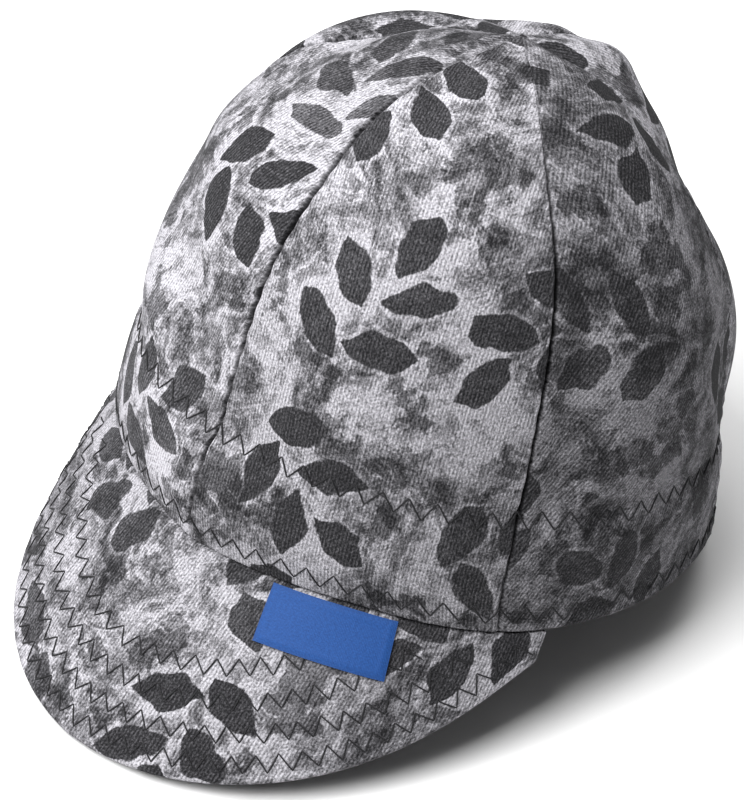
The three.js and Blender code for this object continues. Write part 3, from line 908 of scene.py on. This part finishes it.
# %% A socket that can be reckoned with
class Value:
    """A number or vector that flows between the nodes of one material."""

    def __init__(self, tree, socket):
        self.tree, self.socket = tree, socket

    def reckon(self, operation, *others):
        node = self.tree.nodes.new("ShaderNodeMath")
        node.operation = operation
        for place, value in enumerate((self, *others)):
            feed(self.tree, node.inputs[place], value)
        return Value(self.tree, node.outputs[0])

    def __add__(self, other):
        return self.reckon("ADD", other)

    def __radd__(self, other):
        return self.reckon("ADD", other)

    def __sub__(self, other):
        return self.reckon("SUBTRACT", other)

    def __rsub__(self, other):
        return constant(self.tree, other).reckon("SUBTRACT", self)

    def __mul__(self, other):
        return self.reckon("MULTIPLY", other)

    def __rmul__(self, other):
        return self.reckon("MULTIPLY", other)

    def __truediv__(self, other):
        return self.reckon("DIVIDE", other)

    def __pow__(self, other):
        return self.reckon("POWER", other)

    def __abs__(self):
        return self.reckon("ABSOLUTE")

    def least(self, other):
        return self.reckon("MINIMUM", other)

    def most(self, other):
        return self.reckon("MAXIMUM", other)

    def sine(self):
        return self.reckon("SINE")

    def cosine(self):
        return self.reckon("COSINE")

    def wave(self, pitch, start=0.0):
        """A sine wave over the value that repeats at every pitch."""
        return (self * (2 * math.pi / pitch) + start).sine()

    def between(self, low, high, start=0.0, end=1.0):
        """Smooth step from start to end as the value goes from low to high."""
        node = self.tree.nodes.new("ShaderNodeMapRange")
        node.interpolation_type = "SMOOTHSTEP"
        limits = {"Value": self, "From Min": low, "From Max": high, "To Min": start, "To Max": end}
        for name, value in limits.items():
            feed(self.tree, node.inputs[name], value)
        return Value(self.tree, node.outputs[0])


def feed(tree, socket, value):
    """Links a value to a socket, or sets the socket to a number or colour."""
    if isinstance(value, Value):
        tree.links.new(value.socket, socket)
    else:
        socket.default_value = value


def constant(tree, number):
    node = tree.nodes.new("ShaderNodeValue")
    node.outputs[0].default_value = number
    return Value(tree, node.outputs[0])


print("Sums of values add their own Math nodes")


# %% A material under way
class Finish:
    """A material under way: its node tree and its shader."""

    def __init__(self, name):
        self.material = bpy.data.materials.new(name)
        self.material.use_nodes = True
        self.tree = self.material.node_tree
        self.shader = self.tree.nodes["Principled BSDF"]

    def node(self, kind, settings=None, sockets=None, output=0):
        """Adds a node, sets it, then feeds its sockets, and returns one of its outputs."""
        node = self.tree.nodes.new(kind)
        for name, value in (settings or {}).items():
            setattr(node, name, value)
        for name, value in (sockets or {}).items():
            feed(self.tree, node.inputs[name], value)
        return Value(self.tree, node.outputs[output])

    def colour_mix(self, factor, first, second):
        return self.node("ShaderNodeMix", {"data_type": "RGBA"}, {0: factor, 6: first, 7: second}, output=2)

    def vector(self, x, y, z=0.0):
        return self.node("ShaderNodeCombineXYZ", None, {"X": x, "Y": y, "Z": z})

    def parts(self, vector):
        node = self.node("ShaderNodeSeparateXYZ", None, {"Vector": vector}).socket.node
        return [Value(self.tree, output) for output in node.outputs]

    def bolt_place(self):
        """Places on the bolt of cloth in millimetres, as a vector and its two parts."""
        bolt = self.node("ShaderNodeUVMap", {"uv_map": "bolt"})
        place = self.node("ShaderNodeVectorMath", {"operation": "SCALE"}, {"Vector": bolt, "Scale": BOLT})
        return place, *self.parts(place)[:2]

    def noise(self, vector, size, detail, roughness, output=0):
        """Noise in lumps of about a size in millimetres."""
        sockets = {"Vector": vector, "Scale": 1 / size, "Detail": detail, "Roughness": roughness}
        return self.node("ShaderNodeTexNoise", {"noise_dimensions": "2D"}, sockets, output)

    def drift(self, vector, size, reach, detail=2):
        """Two offsets that wander over the cloth, for pushing places about."""
        wander = self.parts(self.noise(vector, size, detail, roughness=0.5, output=1))[:2]
        return [(way - 0.5) * reach for way in wander]

    def bump(self, height, strength, depth):
        sockets = {"Strength": strength, "Distance": depth * MM, "Height": height}
        return self.node("ShaderNodeBump", None, sockets)

    def finish(self, **sockets):
        for name, value in sockets.items():
            feed(self.tree, self.shader.inputs[name.replace("_", " ")], value)
        return self.material


print("Finishes can be mixed")

# %% [markdown]
# ## The printed twill
# Such cloth is printed with dark shapes with crisp pale rims on drifting grey smoke. An image could be laid
# on it, but a formula stays sharp at any distance and needs no file. Here the dark shapes are leaf sprigs,
# scattered over the bolt, each at its own angle. A leaf is where the distance from its midrib is less than a
# width that falls away to both tips.

# %% A leaf's outline
SPRIG = [
    dict(x=-8.5, y=-15.0, turn=152, half_length=10.5, half_width=5.6),
    dict(x=9.5, y=-9.5, turn=28, half_length=11.0, half_width=5.4),
    dict(x=-9.5, y=2.0, turn=143, half_length=10.0, half_width=5.6),
    dict(x=9.0, y=8.5, turn=40, half_length=10.5, half_width=5.2),
    dict(x=-1.0, y=19.5, turn=97, half_length=10.0, half_width=5.4),
]


def leaf_distance(x, y, leaf):
    """How far outside a leaf's outline a place is, less than zero within it."""
    cosine, sine = math.cos(math.radians(leaf["turn"])), math.sin(math.radians(leaf["turn"]))
    aside, above = x - leaf["x"], y - leaf["y"]
    along = (aside * cosine + above * sine) / leaf["half_length"]
    across = abs(above * cosine - aside * sine)
    return across - (1 - along * along) * leaf["half_width"]


print("A sprig has", len(SPRIG), "leaves")

# %% Sprigs sown over the bolt
SPRIG_SPACING, SPRIG_SCATTER, SPRIG_MARGIN = 60.0, 0.4, 2.5
SPRIG_WOBBLE_SIZE, SPRIG_WOBBLE, RAGGED_EDGE = 9, 4.5, 0.8
STEM_BEND, STEM_BEND_RATE, STEM_DROP, STEM_HALF_LENGTH = 2.0, 0.09, 4, 22


def sown_sprigs(cloth, place, x, y, grit):
    """Distances from the nearest leaf's outline and the stem, and how strongly each sprig is printed."""
    sown = {"Vector": cloth.vector(x, y), "Scale": 1 / SPRIG_SPACING, "Randomness": SPRIG_SCATTER}
    flat_cells = {"voronoi_dimensions": "2D"}
    scatter = cloth.node("ShaderNodeTexVoronoi", flat_cells, sown).socket.node
    centre_x, centre_y = cloth.parts(Value(cloth.tree, scatter.outputs["Position"]))[:2]
    turning, fading = cloth.parts(Value(cloth.tree, scatter.outputs["Color"]))[:2]
    cell_edges = {**flat_cells, "feature": "DISTANCE_TO_EDGE"}
    border = cloth.node("ShaderNodeTexVoronoi", cell_edges, sown) * SPRIG_SPACING
    wobble_x, wobble_y = cloth.drift(place, SPRIG_WOBBLE_SIZE, SPRIG_WOBBLE, detail=1)
    from_x, from_y = x - centre_x + wobble_x, y - centre_y + wobble_y
    angle = turning * (2 * math.pi)
    sprig_x = from_x * angle.cosine() + from_y * angle.sine()
    sprig_y = from_y * angle.cosine() - from_x * angle.sine()
    nearest, *others = [leaf_distance(sprig_x, sprig_y, leaf) for leaf in SPRIG]
    for leaf in others:
        nearest = nearest.least(leaf)
    nearest = nearest.most(SPRIG_MARGIN - border) + grit * RAGGED_EDGE
    bend = (sprig_y * STEM_BEND_RATE).sine() * STEM_BEND
    stem = abs(sprig_x + bend).most(abs(sprig_y + STEM_DROP) - STEM_HALF_LENGTH)
    return nearest, stem, fading.between(0.0, 0.7, 0.72, 1.0)


print("Sprigs are sown about every", SPRIG_SPACING, "mm")

# %% [markdown]
# ### Smoke
# One noise would look like clouds. Smoke is drawn out into wisps, so the places where the noise is read are
# pushed about by other noise first. Over it lie pale veins, mottling, darker clumps with crisp edges, and
# grit.


# %% The smoke's layers
def smoke(cloth, place, x, y):
    """Layers of the smoke, from 0 to 1, and the grit, about 0."""
    drift_x, drift_y = cloth.drift(place, size=42, reach=46)
    eddy_x, eddy_y = cloth.drift(place, size=13, reach=14)
    smoke_x, smoke_y = x + drift_x + eddy_x, y + drift_y + eddy_y
    drifted, veined = cloth.vector(smoke_x, smoke_y), cloth.vector(smoke_x + 70, smoke_y)
    drawn_out, mottled = cloth.vector(smoke_x, smoke_y * 0.3), cloth.vector(x * 1.1 + 300, y * 0.85)
    clumped, gritty = cloth.vector(x + 120, y + 80), cloth.vector(x, y + 500)
    vein_middle = cloth.noise(veined, size=20, detail=5, roughness=0.55) - 0.5
    return dict(
        cloud=cloth.noise(drifted, size=24, detail=5, roughness=0.58).between(0.34, 0.66),
        wisps=cloth.noise(drawn_out, size=5, detail=5, roughness=0.68).between(0.32, 0.68),
        veins=abs(vein_middle).between(0.028, 0.0),
        mottle=cloth.noise(mottled, size=6, detail=7, roughness=0.74).between(0.38, 0.62),
        clumps=cloth.noise(clumped, size=22, detail=7, roughness=0.62).between(0.55, 0.585),
        grit=cloth.noise(gritty, size=1.5, detail=3, roughness=0.75) - 0.5,
    )


print("The smoke's layers can be mixed")

# %% [markdown]
# ### The print and the weave together
# The print is made paler or darker over whole panels by slow waves along and across the bolt. This is painted
# light and shade: the side panels come out darker, as if in shade, and the wearer's right front paler, as if
# lit. Over it lie the ribs of the twill and the flecks of its yarns, stronger where the print is pale. They
# could be threads of real geometry, but at a millimetre apart colour and a slight bump do as well and cost
# nothing.

# %% Mix the printed twill
RIB_PITCH, CROSSING_PITCH = 1.05, 1.2
RIB_HEIGHT, YARN_HEIGHT = 0.5, 1.4
RIBS, CROSSINGS, YARNS, FLECKS = 0.11, 0.06, 0.65, 0.9
WEAVE_ON_DARK, WEAVE_ON_PALE = 0.45, 0.4
# Slow waves of painted light and shade, which make whole panels paler or darker.
PAINTED_LIGHT_SHADE_MIDDLE, PAINTED_LIGHT_SHADE_REPEATS, PAINTED_LIGHT_SHADE_STARTS, PAINTED_LIGHT_SHADE_DEPTHS = 0.88, (700.0, 420.0), (0.8, -1.9), (0.15, 0.08)
SMOKE_BASE, CLOUD, WISPS, MOTTLE, GRIT = 0.2, 0.36, 0.27, 0.21, 0.5
CLUMPS, VEINS, VEINS_IN_CLOUD = 0.42, 0.1, 0.16
GLOW, RIM, RIM_BASE, STEM = 0.12, 0.22, 0.35, 0.2
LEAF_BASE, LEAF_MOTTLE, LEAF_GRIT = 0.2, 0.05, 0.15
DARKEST, PALEST, GROOVE_SHADE, TONE_POWER = 0.05, 0.85, 0.7, 2.2
NEAR_BLACK, PALE_CLOTH = (0.004, 0.004, 0.005, 1), (0.47, 0.46, 0.495, 1)


def printed_twill():
    cloth = Finish("printed_twill")
    place, x, y = cloth.bolt_place()
    layers = smoke(cloth, place, x, y)
    cloud, mottle, grit = layers["cloud"], layers["mottle"], layers["grit"]
    nearest, stem, strength = sown_sprigs(cloth, place, x, y, grit)
    # Painted light and shade: slow waves along and across the bolt make whole panels paler or darker. The
    # side panels come out darker, as if in shade, and the wearer's right front paler, as if lit.
    painted_light_and_shade = PAINTED_LIGHT_SHADE_MIDDLE
    for way, repeat, start, depth in zip((x, y), PAINTED_LIGHT_SHADE_REPEATS, PAINTED_LIGHT_SHADE_STARTS, PAINTED_LIGHT_SHADE_DEPTHS):
        painted_light_and_shade = way.wave(repeat, start) * depth + painted_light_and_shade

    tone = SMOKE_BASE + cloud * CLOUD + layers["wisps"] * WISPS + mottle * MOTTLE + grit * GRIT
    tone = tone * (1 - layers["clumps"] * CLUMPS)
    tone = tone + layers["veins"] * (VEINS + cloud * VEINS_IN_CLOUD)
    rim = nearest.between(-0.3, 0.4) * nearest.between(1.9, 0.9) * (RIM_BASE + mottle * (1 - RIM_BASE))
    glow = nearest.between(8.0, 0.0) * cloud
    tone = tone + glow * GLOW + rim * RIM * strength + stem.between(1.2, 0.5) * STEM
    inside = nearest.between(0.3, -0.4) * strength
    leaf_tone = LEAF_BASE + mottle * LEAF_MOTTLE + grit * LEAF_GRIT
    tone = (tone * (1 - inside) + leaf_tone * inside).least(PALEST) * painted_light_and_shade

    ribs, crossings = x.wave(RIB_PITCH), (y + x * 0.5).wave(CROSSING_PITCH)
    yarns = cloth.noise(cloth.vector(x, y * 0.4), size=0.55, detail=1, roughness=0.8) - 0.5
    flecks = cloth.noise(cloth.vector(x, y * 0.9), size=0.6, detail=1, roughness=0.8) - 0.5
    weave = ribs * RIBS + ribs * crossings * CROSSINGS + yarns * YARNS + flecks * FLECKS
    tone = (tone + weave * (WEAVE_ON_DARK + tone * WEAVE_ON_PALE)).most(DARKEST)
    # Painted seam shade: the print is darkened along the seams, standing in for the shade in their creases.
    painted_seam_shade = cloth.node("ShaderNodeAttribute", {"attribute_name": "painted_seam_shade"}, output=2)
    tone = tone * (1 - painted_seam_shade * GROOVE_SHADE)
    colour = cloth.colour_mix(tone**TONE_POWER, NEAR_BLACK, PALE_CLOTH)
    bump = cloth.bump(ribs * RIB_HEIGHT + yarns * YARN_HEIGHT, strength=0.4, depth=0.14)
    return cloth.finish(Base_Color=colour, Roughness=0.9, Normal=bump, Specular_IOR_Level=0.2)


twill = printed_twill()
print("Printed twill has", len(twill.node_tree.nodes), "nodes")

# %% [markdown]
# ## The cloth's back, the thread and the ribbon
# The inside of the cap shows the back of the twill. It could be left as pale as plain cloth, but a faint
# shadow of the print shows through. The thread is dark cotton. The ribbon of the label is close woven, so it
# has fine even ribs and a slight gloss.

# %% Mix the twill's back
BACK_TONE, BACK_SHADOW, BACK_RIBS, BACK_FLECKS = 0.55, 0.25, 0.03, 0.4
BACK_DARK, BACK_PALE = (0.1, 0.1, 0.105, 1), (0.34, 0.335, 0.35, 1)


def twill_back():
    cloth = Finish("twill_back")
    place, x, y = cloth.bolt_place()
    ribs = x.wave(RIB_PITCH)
    flecks = cloth.noise(cloth.vector(x, y * 0.3), size=0.42, detail=2, roughness=0.7) - 0.5
    shadow = cloth.noise(place, size=24, detail=5, roughness=0.6).between(0.3, 0.7)
    tone = BACK_TONE + shadow * BACK_SHADOW + ribs * BACK_RIBS + flecks * BACK_FLECKS
    colour = cloth.colour_mix(tone, BACK_DARK, BACK_PALE)
    bump = cloth.bump(ribs * RIB_HEIGHT + flecks * YARN_HEIGHT, strength=0.35, depth=0.12)
    return cloth.finish(Base_Color=colour, Roughness=0.93, Normal=bump, Specular_IOR_Level=0.2)


back = twill_back()
print("The back has", len(back.node_tree.nodes), "nodes")

# %% Mix the thread
THREAD_FUZZ, THREAD_PALE = 2400.0, (0.02, 0.02, 0.022, 1)


def cotton_thread():
    thread = Finish("cotton_thread")
    places = thread.node("ShaderNodeTexCoord", output=3)
    fuzz = thread.node("ShaderNodeTexNoise", None, {"Vector": places, "Scale": THREAD_FUZZ, "Detail": 2.0})
    colour = thread.colour_mix(fuzz.between(0.35, 0.7), NEAR_BLACK, THREAD_PALE)
    return thread.finish(Base_Color=colour, Roughness=0.75, Specular_IOR_Level=0.3)


thread_finish = cotton_thread()
print("The thread has", len(thread_finish.node_tree.nodes), "nodes")

# %% Mix the ribbon
WARP_PITCH, WEFT_PITCH = 0.45, 0.36
RIBBON_WEAVE, RIBBON_FUZZ = 0.28, 1.1
RIBBON_DEEP, RIBBON_BRIGHT = (0.003, 0.03, 0.138, 1), (0.012, 0.074, 0.27, 1)
RIBBON_EDGE_DARK = (0.007, 0.035, 0.13, 1)


def woven_ribbon():
    ribbon = Finish("woven_ribbon")
    x, y = ribbon.bolt_place()[1:]
    warp_yarns, weft_yarns = x.wave(WARP_PITCH), y.wave(WEFT_PITCH)
    fuzz = ribbon.noise(ribbon.vector(x * 0.6, y), size=0.5, detail=2, roughness=0.7) - 0.5
    tone = 0.5 + warp_yarns * weft_yarns * RIBBON_WEAVE + fuzz * RIBBON_FUZZ
    half_width, half_drop = LABEL_WIDTH / 2, LABEL_DROP / 2
    from_side = (half_width - abs(x - half_width)).least(half_drop - abs(y - half_drop))
    woven = ribbon.colour_mix(tone, RIBBON_DEEP, RIBBON_BRIGHT)
    # The ribbon's colour is darker towards its edges.
    colour = ribbon.colour_mix(from_side.between(0.2, 1.4, 0.72, 1.0), RIBBON_EDGE_DARK, woven)
    bump = ribbon.bump(warp_yarns + weft_yarns, strength=0.3, depth=0.08)
    return ribbon.finish(Base_Color=colour, Roughness=0.62, Normal=bump, Specular_IOR_Level=0.25)


ribbon = woven_ribbon()
print("The ribbon has", len(ribbon.node_tree.nodes), "nodes")


# %% Dress the pieces
def dress(piece, *materials):
    piece.data.materials.clear()
    for material in materials:
        piece.data.materials.append(material)


# New materials put every face back on the first slot, so the faces' own slots are kept and set again.
for sheet in panel_sheets:
    slots = np.empty(len(sheet.data.polygons), dtype=int)
    sheet.data.polygons.foreach_get("material_index", slots)
    dress(sheet, twill, back)
    sheet.data.polygons.foreach_set("material_index", np.minimum(slots, 1))
dress(brim, twill)
dress(label, ribbon)
for thread in threads:
    dress(thread, thread_finish)
print("Dressed", len(panel_sheets) + 2 + len(threads), "pieces")

# %% [markdown]
# ## Table and light
# The photo has a white sweep and soft light. One lamp like the sun would be simpler, but its shadows would be
# hard. So a broad key light stands at the upper left and in front of the cap, a broader one hangs over and
# behind it, and the room's own pale light keeps the shadows soft.

# %% Lay the table
TABLE_SIZE, TABLE_WHITE = 8, (0.8, 0.8, 0.8, 1)
bpy.ops.object.select_all(action="DESELECT")
bpy.ops.mesh.primitive_plane_add(size=TABLE_SIZE, location=(0, 0, 0))
table = bpy.context.object
table.name = "table"
dress(table, Finish("table_white").finish(Base_Color=TABLE_WHITE, Roughness=0.8))
print("The table is", TABLE_SIZE, "m wide")

# %% Set the lights
LIGHTS = [
    dict(name="key", toward=(-0.7, 0.9, 0.5), distance=1.6, size=1.2, watts=50),
    dict(name="top", toward=(0.0, 1.0, -0.35), distance=1.6, size=1.6, watts=28),
]
ROOM_LIGHT = 0.14


def soft_light(name, toward, distance, size, watts):
    """An area light that faces the cap from a direction given as right, up and back towards the camera."""
    back_way, right_way = camera_axes()[:2]
    way = unit(right_way * toward[0] + np.array([0, 0, 1.0]) * toward[1] + back_way * toward[2])
    bpy.ops.object.light_add(type="AREA", location=np.array([0, 0, AIM_HEIGHT]) + way * distance)
    light = bpy.context.object
    light.name = name
    light.data.size, light.data.energy = size, watts
    light.rotation_euler = Vector(way).to_track_quat("Z", "Y").to_euler()


for light in LIGHTS:
    soft_light(**light)
world = bpy.data.worlds.new("soft_room")
world.use_nodes = True
world.node_tree.nodes["Background"].inputs["Color"].default_value = (1, 1, 1, 1)
world.node_tree.nodes["Background"].inputs["Strength"].default_value = ROOM_LIGHT
bpy.context.scene.world = world
bpy.context.scene.view_settings.view_transform = "Standard"
print("Lights:", [light["name"] for light in LIGHTS])
